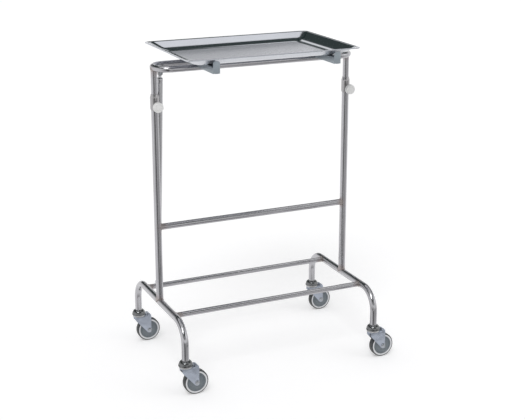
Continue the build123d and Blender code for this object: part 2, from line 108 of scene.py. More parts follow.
def mathOf(tree, operation, first, second=0.0, clamp=False):
    sources = {0: first, 1: second}
    return addNode(tree, "ShaderNodeMath", sources, operation=operation, use_clamp=clamp).outputs[0]


def times(tree, first, second):
    return mathOf(tree, "MULTIPLY", first, second)


def plus(tree, first, second):
    return mathOf(tree, "ADD", first, second)


def remap(tree, value, fromLow, fromHigh, toLow=0.0, toHigh=1.0):
    sources = dict(enumerate((value, fromLow, fromHigh, toLow, toHigh)))
    return addNode(tree, "ShaderNodeMapRange", sources).outputs[0]


def mixColor(tree, factor, first, second, blend="MIX"):
    sources = {0: factor, 6: first, 7: second}
    return addNode(tree, "ShaderNodeMix", sources, data_type="RGBA", blend_type=blend).outputs[2]


def noiseOf(tree, vector, scale, detail=3.0, roughness=0.5):
    sources = {"Vector": vector, "Scale": scale, "Detail": detail, "Roughness": roughness}
    return addNode(tree, "ShaderNodeTexNoise", sources).outputs[0]


def partsOf(tree, vector):
    return addNode(tree, "ShaderNodeSeparateXYZ", {0: vector}).outputs


def vectorOf(tree, *parts):
    return addNode(tree, "ShaderNodeCombineXYZ", dict(enumerate(parts))).outputs[0]


def rampOf(tree, source, stops):        # stops are (position, color), the lowest first
    ramp = addNode(tree, "ShaderNodeValToRGB", {0: source})
    elements = ramp.color_ramp.elements
    elements[0].position, elements[0].color = stops[0]
    elements[1].position, elements[1].color = stops[-1]
    for position, color in stops[1:-1]:
        elements.new(position).color = color
    return ramp.outputs[0]


def placeGroup(tree, group, **sources):
    return addNode(tree, "ShaderNodeGroup", sources, node_tree=group).outputs


# Shader groups

bloomShape = {
    "raggedScale": 55.0, "ragged": 0.006, "full": 0.45,
    "stops": ((0.42, (0.30, 0.22, 0.16, 1)), (0.66, (0.36, 0.27, 0.29, 1)), (0.95, (0.52, 0.42, 0.36, 1))),
}


def makePolishGroup():      # fine polishing lines across the stretch of the vector, and soft hand marks
    group, given, made = newTree("ShaderNodeTree", "polish", {
        "Lines At": "Vector", "Marks At": "Vector", "Fineness": 60.0, "Cloud Size": 9.0},
        {"Lines": "Float", "Marks": "Float"})
    lines = noiseOf(group, given["Lines At"], given["Fineness"], 5.0, 0.62)
    marks = noiseOf(group, given["Marks At"], given["Cloud Size"], 4.0, 0.58)
    feed(group, made["Lines"], remap(group, lines, 0.3, 0.7))
    feed(group, made["Marks"], remap(group, marks, 0.35, 0.68))
    return group


def makeHeatGroup():        # straw and violet bloom round the welds, the same on all four quarters
    group, given, made = newTree("ShaderNodeTree", "weldBloom", {"At": "Vector", "Reach": 0.03},
                                 {"Mask": "Float", "Color": "Color"})
    x, y, z = partsOf(group, given["At"])
    folded = vectorOf(group, mathOf(group, "ABSOLUTE", mathOf(group, "SUBTRACT", x, midX)),
                      mathOf(group, "ABSOLUTE", y), z)
    halfWidth = rightX - midX
    nearest = None
    for weld in (
        (halfWidth - legRadius, railY, legZ), (halfWidth, 0, legZ + legRadius),
        (halfWidth - postRadius, 0, crossZ), (halfWidth, 0, ringZ - thinRadius),
    ):
        gap = addNode(group, "ShaderNodeVectorMath", {0: folded, 1: weld}, operation="DISTANCE")
        gap = gap.outputs["Value"]
        nearest = gap if nearest is None else mathOf(group, "MINIMUM", nearest, gap)
    noise = noiseOf(group, given["At"], bloomShape["raggedScale"])
    ragged = remap(group, noise, 0.3, 0.7, -bloomShape["ragged"], bloomShape["ragged"])
    share = mathOf(group, "DIVIDE", plus(group, nearest, ragged), given["Reach"])
    feed(group, made["Mask"], remap(group, share, bloomShape["full"], 1.0, 1.0, 0.0))
    feed(group, made["Color"], rampOf(group, share, bloomShape["stops"]))
    return group


def makeDustGroup():        # floor dust that thins out upwards
    group, given, made = newTree("ShaderNodeTree", "floorDust", {
        "At": "Vector", "Top": 0.12, "Amount": 0.5}, {"Mask": "Float"})
    height = mathOf(group, "DIVIDE", partsOf(group, given["At"])[2], given["Top"])
    specks = remap(group, noiseOf(group, given["At"], 180.0, 6.0, 0.7), 0.42, 0.62, 0.15, 1.0)
    film = times(group, remap(group, height, 0.0, 1.0, 1.0, 0.0), specks)
    feed(group, made["Mask"], mathOf(group, "MULTIPLY", film, given["Amount"], True))
    return group


polishGroup = makePolishGroup()
heatGroup = makeHeatGroup()
dustGroup = makeDustGroup()


# Materials

metalLook = {
    "cloud": 9.0, "marked": 0.5, "darker": 0.80, "lines": 0.06, "relief": 0.1 * mm,
    "bloomReach": 0.026, "bloomTint": 0.4, "bloomDull": 0.12, "waveScale": 34.0, "waveDepth": 5 * mm,
    "dustTop": 0.13, "dustDull": 0.4, "dustTone": (0.42, 0.41, 0.39, 1),
}
trayLook = {
    "fineness": 90.0, "cloud": 6.0, "stretch": (1, 14, 1), "marked": 0.35, "darker": 0.86,
    "bright": 0.08, "satin": 0.24, "outside": 0.16, "marks": 0.03, "grain": 0.08, "relief": 0.05,
    "satinTone": (0.46, 0.45, 0.49, 1), "satinTint": 0.5, "satinMetal": 0.55, "outsideMetal": 0.75,
}
plasticLook = {
    "grain": 700.0, "cloud": 40.0, "marked": 0.6, "darker": 0.90, "uneven": 0.12, "relief": 0.08 * mm,
    "index": 1.49, "dustTop": 0.10, "dustDull": 0.3, "dustTone": (0.45, 0.43, 0.40, 1),
}


def newMaterial(name):
    material = bpy.data.materials.new(name)
    material.use_nodes = True
    tree = material.node_tree
    shader = tree.nodes["Principled BSDF"]
    place = addNode(tree, "ShaderNodeTexCoord").outputs["Object"]
    return material, tree, shader, place


def polishOf(tree, place, fineness, cloud, stretch=None):
    linesAt = place
    if stretch:
        linesAt = addNode(tree, "ShaderNodeMapping", {"Scale": stretch, "Vector": place}).outputs[0]
    return placeGroup(tree, polishGroup, **{
        "Lines At": linesAt, "Marks At": place, "Fineness": fineness, "Cloud Size": cloud})


def markedTone(tree, marks, color, look):       # a color that darkens under the hand marks
    return mixColor(tree, times(tree, marks, look["marked"]), (*color, 1),
                    (*(c * look["darker"] for c in color), 1))


def dusted(tree, place, amount, tone, surface, look):
    film = placeGroup(tree, dustGroup, At=place, Top=look["dustTop"], Amount=amount)[0]
    tone = mixColor(tree, film, tone, look["dustTone"])
    return tone, plus(tree, surface, times(tree, film, look["dustDull"]))


def bumpOf(tree, height, strength, depth):
    return addNode(tree, "ShaderNodeBump", {"Strength": strength, "Distance": depth, "Height": height})


def makeMetal(name, color, rough, stretch, marks=0.08, bump=0.04, bloom=False, dust=0.0,
              fineness=60.0, waves=0.0, metal=1.0):
    look = metalLook
    material, tree, shader, place = newMaterial(name)
    polish = polishOf(tree, place, fineness, look["cloud"], stretch)
    tone = markedTone(tree, polish["Marks"], color, look)
    surface = plus(tree, remap(tree, polish["Lines"], 0, 1, rough, rough + look["lines"]),
                   times(tree, polish["Marks"], marks))
    if bloom:
        mask, heat = placeGroup(tree, heatGroup, At=place, Reach=look["bloomReach"])
        tone = mixColor(tree, times(tree, mask, look["bloomTint"]), tone, heat)
        surface = plus(tree, surface, times(tree, mask, look["bloomDull"]))
    if dust:
        tone, surface = dusted(tree, place, dust, tone, surface, look)
    relief = bumpOf(tree, polish["Lines"], bump, look["relief"])
    if waves:               # slow unevenness of pressed sheet
        slow = bumpOf(tree, noiseOf(tree, place, look["waveScale"], 1.0, 0.4), waves, look["waveDepth"])
        feed(tree, relief.inputs["Normal"], slow.outputs[0])
    feedAll(tree, shader, {
        "Metallic": metal, "Base Color": tone, "Roughness": surface, "Normal": relief.outputs[0]})
    return material


def makeTraySteel():        # mirror-bright walls, a satin floor inside and a duller outside
    look = trayLook
    material, tree, shader, place = newMaterial("traySteel")
    polish = polishOf(tree, place, look["fineness"], look["cloud"], look["stretch"])
    normal = addNode(tree, "ShaderNodeNewGeometry").outputs["Normal"]
    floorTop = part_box("tray")[0].z + traySheet
    inside = remap(tree, partsOf(tree, normal)[2], 0.2, 0.4)
    satin = times(tree, inside, remap(
        tree, partsOf(tree, place)[2], floorTop + 0.05 * mm, floorTop + 0.6 * mm, 1.0, 0.0))
    grain = times(tree, polish["Lines"], satin)
    surface = plus(tree, remap(tree, satin, 0, 1, look["bright"], look["satin"]),
                   times(tree, polish["Marks"], look["marks"]))
    surface = plus(tree, surface, remap(tree, inside, 0, 1, look["outside"], 0.0))
    surface = plus(tree, surface, times(tree, grain, look["grain"]))
    tone = markedTone(tree, polish["Marks"], sheetTone, look)
    tone = mixColor(tree, times(tree, grain, look["satinTint"]), tone, look["satinTone"])
    metal = mathOf(tree, "SUBTRACT", remap(tree, inside, 0, 1, look["outsideMetal"], 1.0),
                  times(tree, satin, look["satinMetal"]))
    relief = bumpOf(tree, grain, look["relief"], metalLook["relief"])
    feedAll(tree, shader, {
        "Metallic": metal, "Base Color": tone, "Roughness": surface, "Normal": relief.outputs[0]})
    return material


def makePlastic(name, color, rough, bump=0.12, dust=0.0, coat=0.0):
    look = plasticLook
    material, tree, shader, place = newMaterial(name)
    polish = polishOf(tree, place, look["grain"], look["cloud"])
    tone = markedTone(tree, polish["Marks"], color, look)
    surface = remap(tree, polish["Marks"], 0, 1, rough, rough + look["uneven"])
    if dust:
        tone, surface = dusted(tree, place, dust, tone, surface, look)
    relief = bumpOf(tree, polish["Lines"], bump, look["relief"])
    feedAll(tree, shader, {
        "Coat Weight": coat, "IOR": look["index"], "Base Color": tone, "Roughness": surface,
        "Normal": relief.outputs[0]})
    return material


steelTone = (0.52, 0.515, 0.54)
sheetTone = (0.62, 0.64, 0.69)
acrossX, acrossY, acrossZ = (40, 1, 1), (1, 40, 1), (1, 1, 40)
uprightSteel = makeMetal("uprightSteel", steelTone, 0.12, acrossZ, bloom=True)
crosswiseSteel = makeMetal("crosswiseSteel", steelTone, 0.13, acrossX, bloom=True)
legSteel = makeMetal("legSteel", steelTone, 0.11, acrossY, bloom=True, dust=0.25)
turnedSteel = makeMetal("turnedSteel", (0.46, 0.45, 0.46), 0.13, acrossZ)
traySteel = makeTraySteel()
armSteel = makeMetal("armSteel", (0.36, 0.41, 0.45), 0.32, acrossY, metal=0.45)
strutSteel = makeMetal("strutSteel", (0.55, 0.55, 0.57), 0.15, acrossZ)
rodChrome = makeMetal("rodChrome", (0.72, 0.73, 0.75), 0.07, acrossZ, marks=0.03)
bracketSteel = makeMetal("bracketSteel", (0.50, 0.50, 0.52), 0.30, (30, 1, 1))
weldSteel = makeMetal("weldSteel", (0.42, 0.38, 0.36), 0.36, (1, 1, 1), fineness=400.0, bump=0.2)
headChrome = makeMetal("headChrome", (0.20, 0.205, 0.21), 0.12, acrossZ, dust=0.1)
raceSteel = makeMetal("raceSteel", (0.62, 0.62, 0.63), 0.24, acrossZ, dust=0.3)
forkZinc = makeMetal("forkZinc", (0.42, 0.46, 0.54), 0.22, (1, 1, 30), marks=0.12, dust=0.15,
                     waves=1.0, metal=0.85)
boltZinc = makeMetal("boltZinc", (0.40, 0.42, 0.45), 0.14, (1, 1, 1), fineness=300.0, dust=0.1)
padBrass = makeMetal("padBrass", (0.62, 0.47, 0.24), 0.28, acrossY)
knobWhite = makePlastic("knobWhite", (0.84, 0.84, 0.83), 0.32, coat=0.15)
nylonNatural = makePlastic("nylonNatural", (0.74, 0.73, 0.68), 0.45)
wheelGrey = makePlastic("wheelGrey", (0.80, 0.81, 0.83), 0.36, dust=0.15)
guardGrey = makePlastic("guardGrey", (0.14, 0.17, 0.195), 0.28, dust=0.2, coat=0.4)
tyreRubber = makePlastic("tyreRubber", (0.022, 0.028, 0.034), 0.46, bump=0.3, dust=0.3)
print("materials made:", len(bpy.data.materials))


# Geometry node trees

def newShape(name, values):
    return newTree("GeometryNodeTree", name, {"Geometry": "Geometry", **values, "Material": "Material"},
                   {"Geometry": "Geometry"})


def closeShape(tree, given, made, geometry):
    real = addNode(tree, "GeometryNodeRealizeInstances", {0: geometry})
    smooth = addNode(tree, "GeometryNodeSetShadeSmooth", {"Geometry": real.outputs[0]})
    coat = addNode(tree, "GeometryNodeSetMaterial", {
        "Geometry": smooth.outputs[0], "Material": given["Material"]})
    feed(tree, made[0], coat.outputs[0])
    return tree


def circleOf(tree, steps, radius):
    return addNode(tree, "GeometryNodeCurvePrimitiveCircle", {
        "Resolution": steps, "Radius": radius}).outputs[0]


def sweepOf(tree, curve, profile, caps=True):
    return addNode(tree, "GeometryNodeCurveToMesh", {
        "Curve": curve, "Profile Curve": profile, "Fill Caps": caps}).outputs[0]


def dotsOn(tree, curve):
    return addNode(tree, "GeometryNodeCurveToPoints", {"Curve": curve}, mode="EVALUATED").outputs


def ballOf(tree, segments, rings, radius):
    return addNode(tree, "GeometryNodeMeshUVSphere", {
        "Segments": segments, "Rings": rings, "Radius": radius}).outputs["Mesh"]


def makeTubeTree():         # a polyline with rounded corners, swept with a circle
    tree, given, made = newShape("bentTube", {
        "Radius": 0.011, "Bend Radius": 0.05, "Bend Steps": 18, "Sides": 40})
    line = addNode(tree, "GeometryNodeMeshToCurve", {0: given["Geometry"]})
    bend = addNode(tree, "GeometryNodeFilletCurve")
    if hasattr(bend, "mode"):
        bend.mode = "POLY"
    feedAll(tree, bend, {"Curve": line.outputs[0], "Count": given["Bend Steps"],
                         "Radius": given["Bend Radius"], "Limit Radius": True})
    ring = circleOf(tree, given["Sides"], given["Radius"])
    return closeShape(tree, given, made, sweepOf(tree, bend.outputs[0], ring))


def makeWeldTree():         # a rippled bead where a round tube meets the side of another
    tree, given, made = newShape("weldBead", {
        "Branch Radius": 0.011, "Main Radius": 0.0125, "Bead": 0.0032, "Ripples": 34, "Seed": 1})
    circle = circleOf(tree, given["Ripples"], given["Branch Radius"])
    x = partsOf(tree, addNode(tree, "GeometryNodeInputPosition").outputs[0])[0]
    mainSquare = times(tree, given["Main Radius"], given["Main Radius"])
    rise = mathOf(tree, "MAXIMUM", mathOf(tree, "SUBTRACT", mainSquare, times(tree, x, x)), 0.0)
    lift = vectorOf(tree, 0.0, 0.0, mathOf(tree, "SQRT", rise))
    saddle = addNode(tree, "GeometryNodeSetPosition", {"Geometry": circle, "Offset": lift}).outputs[0]
    core = sweepOf(tree, saddle, circleOf(tree, 8, times(tree, given["Bead"], 0.42)), False)
    dots = dotsOn(tree, saddle)
    size = addNode(tree, "FunctionNodeRandomValue", {2: 0.85, 3: 1.12, "Seed": given["Seed"]},
                   data_type="FLOAT")
    copies = addNode(tree, "GeometryNodeInstanceOnPoints", {
        "Points": dots["Points"], "Instance": ballOf(tree, 8, 6, times(tree, given["Bead"], 0.56)),
        "Rotation": dots["Rotation"], "Scale": size.outputs[1]})
    both = addNode(tree, "GeometryNodeJoinGeometry")
    tree.links.new(core, both.inputs[0])
    tree.links.new(copies.outputs[0], both.inputs[0])
    return closeShape(tree, given, made, both.outputs[0])


def makeRibRingTree():      # rounded ribs or balls set round a circle, along its axis
    tree, given, made = newShape("ribRing", {
        "Count": 16, "Ring Radius": 0.018, "Rib Length": 0.012, "Rib Radius": 0.001})
    dots = dotsOn(tree, circleOf(tree, given["Count"], given["Ring Radius"]))
    size = vectorOf(tree, given["Rib Radius"], given["Rib Radius"], times(tree, given["Rib Length"], 0.5))
    copies = addNode(tree, "GeometryNodeInstanceOnPoints", {
        "Points": dots["Points"], "Instance": ballOf(tree, 10, 8, 1.0), "Scale": size})
    return closeShape(tree, given, made, copies.outputs[0])


def makeThreadTree():       # a screw thread as a ridge along a spiral
    tree, given, made = newShape("screwThread", {
        "Radius": 0.004, "Pitch": 0.0015, "Turns": 8.0, "Ridge": 0.0006})
    spiral = addNode(tree, "GeometryNodeCurveSpiral", {
        "Resolution": 20, "Rotations": given["Turns"], "Start Radius": given["Radius"],
        "End Radius": given["Radius"], "Height": times(tree, given["Pitch"], given["Turns"])})
    ridge = circleOf(tree, 6, given["Ridge"])
    return closeShape(tree, given, made, sweepOf(tree, spiral.outputs[0], ridge))


tubeTree = makeTubeTree()
weldTree = makeWeldTree()
ribRingTree = makeRibRingTree()
threadTree = makeThreadTree()


def newObject(name, data):
    made = bpy.data.objects.new(name, data)
    scene.collection.objects.link(made)
    return made


def settled(holder):        # an object's mesh with its modifiers applied
    depsgraph = bpy.context.evaluated_depsgraph_get()
    return bpy.data.meshes.new_from_object(holder.evaluated_get(depsgraph), depsgraph=depsgraph)


def grow(tree, values, points=((0, 0, 0),), closed=False):      # the mesh that a tree makes of a polyline
    mesh = bpy.data.meshes.new("seed")
    edges = [(i, i + 1) for i in range(len(points) - 1)] + ([(len(points) - 1, 0)] if closed else [])
    mesh.from_pydata(points, edges, [])
    seed = newObject("seed", mesh)
    modifier = seed.modifiers.new("shape", "NODES")
    modifier.node_group = tree
    names = {item.name: item.identifier for item in tree.interface.items_tree
             if item.in_out == "INPUT"}
    for key, value in values.items():
        modifier[names[key]] = value
    grown = settled(seed)
    bpy.data.objects.remove(seed)
    bpy.data.meshes.remove(mesh)
    return grown


# Mesh helpers

onAxis = 1e-7               # anything nearer to the axis is a point on it
onePoint = 1e-6             # points nearer to each other than this are joined


def roundOff(points, radius, steps=3, closed=True):     # a 2-D outline, its corners rounded by millimetres
    made = []
    count = len(points)
    for i, corner in enumerate(points):
        reach = (radius[i] if isinstance(radius, list) else radius) * mm
        before = Vector(points[i - 1])
        here = Vector(corner)
        after = Vector(points[(i + 1) % count])
        onEnd = not closed and i in (0, count - 1)
        if reach <= 0 or onEnd or here.x < onAxis:
            made.append(tuple(here))
            continue
        reach = min(reach, 0.45 * (before - here).length, 0.45 * (after - here).length)
        start = here + (before - here).normalized() * reach
        end = here + (after - here).normalized() * reach
        for k in range(steps + 1):
            t = k / steps
            made.append(tuple((1 - t) ** 2 * start + 2 * t * (1 - t) * here + t * t * end))
    return made


def lathe(outline, steps):          # a closed outline of (radius, height) turned about Z
    verts, rings = [], []
    for radius, height in outline:
        if radius < onAxis:
            rings.append([len(verts)])
            verts.append((0, 0, height))
            continue
        rings.append(list(range(len(verts), len(verts) + steps)))
        for k in range(steps):
            turn = 2 * math.pi * k / steps
            verts.append((radius * math.cos(turn), radius * math.sin(turn), height))
    faces = []
    for ring, following in zip(rings, rings[1:] + rings[:1]):
        for k in range(steps):
            n = (k + 1) % steps
            if len(ring) > 1 and len(following) > 1:
                faces.append((ring[k], ring[n], following[n], following[k]))
            elif len(ring) > 1:
                faces.append((ring[k], ring[n], following[0]))
            elif len(following) > 1:
                faces.append((ring[0], following[n], following[k]))
    mesh = bpy.data.meshes.new("lathe")
    mesh.from_pydata(verts, [], faces)
    return mesh


def joined(parts):          # a list of (mesh, matrix) as one mesh, its faces pointing outwards
    shape = bmesh.new()
    for mesh, matrix in parts:
        copy = mesh.copy()
        copy.transform(matrix)
        shape.from_mesh(copy)
        bpy.data.meshes.remove(copy)
    bmesh.ops.remove_doubles(shape, verts=shape.verts, dist=onePoint)
    bmesh.ops.recalc_face_normals(shape, faces=shape.faces)
    mesh = bpy.data.meshes.new("joined")
    shape.to_mesh(mesh)
    shape.free()
    return mesh


def addPiece(name, shape, material, body, slot, *replaced, sharp=38):
    mesh = joined(shape) if isinstance(shape, list) else shape
    mesh.name = name
    mesh.materials.clear()
    mesh.materials.append(material)
    mesh.shade_smooth()
    mesh.set_sharp_from_angle(angle=math.radians(sharp))
    piece = newObject(name, mesh)
    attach(piece, body)
    if replaced:
        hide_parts(*replaced)


edgeShape = {"merge": 5e-6, "flat": math.radians(1.0), "segments": 2, "limit": math.radians(34)}


def softCopy(node, width):  # a CAD node's shape with small rounded edges
    shape = bmesh.new()
    shape.from_mesh(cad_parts[node].data)
    bmesh.ops.remove_doubles(shape, verts=shape.verts, dist=edgeShape["merge"])
    bmesh.ops.dissolve_limit(
        shape, angle_limit=edgeShape["flat"], verts=shape.verts, edges=shape.edges)
    clean = bpy.data.meshes.new(node)
    shape.to_mesh(clean)
    shape.free()
    holder = newObject("holder", clean)
    bevel = holder.modifiers.new("edge", "BEVEL")
    bevel.width = width
    bevel.segments = edgeShape["segments"]
    bevel.limit_method = "ANGLE"
    bevel.angle_limit = edgeShape["limit"]
    made = settled(holder)
    bpy.data.objects.remove(holder)
    return made


def moved(x, y, z):
    return Matrix.Translation((x, y, z))


def standing(origin, up, along):    # a frame whose Z is up and whose Y is along
    up, along = Vector(up).normalized(), Vector(along).normalized()
    across = along.cross(up)
    turn = Matrix((across, along, up)).transposed().to_4x4()
    return moved(*origin) @ turn


frontward = Matrix.Rotation(math.radians(90), 4, "X")       # local Z to -Y


# Bent and straight tubes

tubeLook = {"sides": 44, "bendSteps": 24, "legBend": 75 * mm, "ringBend": 0.998}


def tube(name, points, radius, material, body, node, bend=0.0, closed=False):
    mesh = grow(tubeTree, {
        "Radius": radius, "Bend Radius": bend, "Bend Steps": tubeLook["bendSteps"] if bend else 1,
        "Sides": tubeLook["sides"], "Material": material}, points, closed)
    addPiece(name, [(mesh, Matrix())], material, body, "stainless_tube", node)


def makeTubes():
    for side, x in (("left", leftX), ("right", rightX)):
        legPath = [(x, -stemY, legLowZ), (x, -stemY, legZ), (x, stemY, legZ), (x, stemY, legLowZ)]
        tube(f"{side}LegTube", legPath, legRadius, legSteel, "base", f"{side}_leg", tubeLook["legBend"])
        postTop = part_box(f"{side}_post")[1].z
        tube(f"{side}PostTube", [(x, 0, legZ), (x, 0, postTop)], postRadius, uprightSteel, "base",
             f"{side}_post")
        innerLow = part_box(f"{side}_inner_tube")[0].z
        tube(f"{side}InnerTube", [(x, 0, innerLow), (x, 0, ringZ)], thinRadius, uprightSteel,
             "top_frame", f"{side}_inner_tube")
    for place, y in (("front", -railY), ("rear", railY)):
        tube(f"{place}BaseRail", [(leftX, y, legZ), (rightX, y, legZ)], railRadius, crosswiseSteel,
             "base", f"{place}_base_rail")
    tube("crossBar", [(leftX, 0, crossZ), (rightX, 0, crossZ)], thinRadius, crosswiseSteel, "base",
         "cross_bar")
    ringPath = [(leftX, -ringY, ringZ), (rightX, -ringY, ringZ), (rightX, ringY, ringZ),
                (leftX, ringY, ringZ)]
    tube("supportRing", ringPath, thinRadius, crosswiseSteel, "top_frame", "tray_support_ring",
         ringY * tubeLook["ringBend"], True)


makeTubes()
print("tubes done")


# Weld beads

weldLook = {"bead": 3.0 * mm, "pitch": 2.1 * mm, "inset": 0.999}     # inset where both tubes are as wide


def bead(branch, main, seed, *place):
    ripples = round(2 * math.pi * branch / weldLook["pitch"])
    mesh = grow(weldTree, {
        "Branch Radius": branch, "Main Radius": main, "Bead": weldLook["bead"], "Ripples": ripples,
        "Seed": seed, "Material": weldSteel})
    return mesh, standing(*place)


def makeWelds():
    base, top, inset = [], [], weldLook["inset"]
    for count, (x, inward) in enumerate(((leftX, 1), (rightX, -1))):
        for y in (-railY, railY):
            base.append(bead(railRadius, legRadius, count, (x, y, legZ), (inward, 0, 0), (0, 1, 0)))
        base.append(bead(postRadius * inset, legRadius, count + 2, (x, 0, legZ), (0, 0, 1), (0, 1, 0)))
        base.append(bead(thinRadius, postRadius, count + 4, (x, 0, crossZ), (inward, 0, 0), (0, 0, 1)))
        top.append(bead(thinRadius * inset, thinRadius, count + 6, (x, 0, ringZ), (0, 0, -1), (0, 1, 0)))
    addPiece("baseWelds", base, weldSteel, "base", "stainless_tube")
    addPiece("topWelds", top, weldSteel, "top_frame", "stainless_tube")


makeWelds()
print("welds done")


# Tray: one pressed sheet with rounded bends and a turned-down hem

trayShape = {       # floorBend and rimBend are radii in millimetres, like all that roundOff takes
    "floorHalf": 264 * mm, "floorCorner": 22 * mm, "wallCorner": 30 * mm, "rimCorner": 12 * mm,
    "least": 4 * mm, "rim": 6 * mm, "hem": 4 * mm, "lipRise": 1.2 * mm, "flat": 60 * mm,
    "floorBend": 100, "rimBend": 24, "cornerSteps": 12, "bendSteps": 10,
}


def trayLoop(halfWide, halfDeep, corner, z, centre):
    loop = []
    steps = trayShape["cornerSteps"]
    for quarter, (sx, sy) in enumerate(((1, 1), (-1, 1), (-1, -1), (1, -1))):
        for k in range(steps + 1):
            turn = math.radians(90 * quarter + 90 * k / steps)
            loop.append((centre.x + sx * (halfWide - corner) + corner * math.cos(turn),
                         centre.y + sy * (halfDeep - corner) + corner * math.sin(turn), z))
    return loop


def makeTray():
    low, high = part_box("tray")
    centre = (low + high) / 2
    shape, sheet, rim = trayShape, traySheet, trayShape["rim"]
    halfWide, halfDeep = (high.x - low.x) / 2, (high.y - low.y) / 2
    floorZ = low.z + sheet
    run = halfWide - rim - shape["floorHalf"]
    outline = [(-shape["flat"], floorZ), (0, floorZ), (run, high.z - shape["lipRise"]),
               (run + rim, high.z), (run + rim, high.z - shape["hem"])]
    aside = 1.0             # metres, so that roundOff takes no point for one on the axis
    top = [(u - aside, z) for u, z in roundOff(
        [(u + aside, z) for u, z in outline], [0, shape["floorBend"], shape["rimBend"], 1, 0],
        shape["bendSteps"], False)]
    under = []
    for i, (u, z) in enumerate(top):
        before = Vector(top[max(i - 1, 0)])
        after = Vector(top[min(i + 1, len(top) - 1)])
        along = (after - before).normalized()
        under.append((u + along.y * sheet, z - along.x * sheet))
    under = [(min(u, run + rim - sheet * 0.6), z) for u, z in under]
    under[-1] = (run + rim - sheet, top[-1][1])

    def loopAt(u, z):
        if u <= run:
            share = max(u, 0) / run
            corner = shape["floorCorner"] * (1 - share) + shape["wallCorner"] * share
        else:
            share = (u - run) / rim
            corner = shape["wallCorner"] * (1 - share) + shape["rimCorner"] * share
        wide = shape["floorHalf"] + u
        deep = halfDeep - rim - run + u
        return trayLoop(wide, deep, max(corner + min(u, 0), shape["least"]), z, centre)

    loops = [loopAt(u, z) for u, z in top + under[::-1]]
    count = len(loops[0])
    verts = [point for loop in loops for point in loop]
    faces = [tuple(range(count)), tuple(range((len(loops) - 1) * count, len(loops) * count))]
    for i in range(len(loops) - 1):
        for k in range(count):
            n = (k + 1) % count
            faces.append((i * count + k, i * count + n, (i + 1) * count + n, (i + 1) * count + k))
    mesh = bpy.data.meshes.new("traySheet")
    mesh.from_pydata(verts, [], faces)
    addPiece("traySheet", [(mesh, Matrix())], traySteel, "tray", "stainless_sheet", "tray", sharp=50)


makeTray()
print("tray done")


# Arms and brackets with rounded folds

foldShape = {"arm": 0.7 * mm, "bracket": 0.4 * mm, "fork": 0.7 * mm}

for side in ("left", "right"):
    addPiece(f"{side}TrayArm", softCopy(f"{side}_tray_arm", foldShape["arm"]), armSteel, "top_frame",
             "stainless_sheet", f"{side}_tray_arm")
for side, body in (("upper", "top_frame"), ("lower", "base")):
    addPiece(f"{side}StrutBracket", softCopy(f"{side}_strut_bracket", foldShape["bracket"]),
             bracketSteel, body, "bracket_steel", f"{side}_strut_bracket")
print("arms and brackets done")


# Clamp collars, screws and knobs

collarShape = {
    "height": 56 * mm, "radius": 15 * mm, "bore": 12.5 * mm, "lip": 4 * mm, "mouth": 11.3 * mm,
    "lowTaper": 6 * mm, "topTaper": 11 * mm, "bossRadius": 8 * mm, "bossReach": 22 * mm,
    "bossDepth": 9 * mm, "screwRise": 16 * mm, "screwHole": 4.3 * mm,
}
knobShape = {
    "gap": 1 * mm, "neckRadius": 9.5 * mm, "neck": 5 * mm, "radius": 18 * mm, "height": 15 * mm,
    "ribs": 30, "ribRadius": 0.9 * mm, "inset": 0.7 * mm, "capRadius": 9.5 * mm, "hole": 4.1 * mm,
}
screwShape = {
    "radius": 3.4 * mm, "threadRadius": 3.45 * mm, "pitch": 1.5 * mm, "turns": 8.0, "ridge": 0.55 * mm,
}


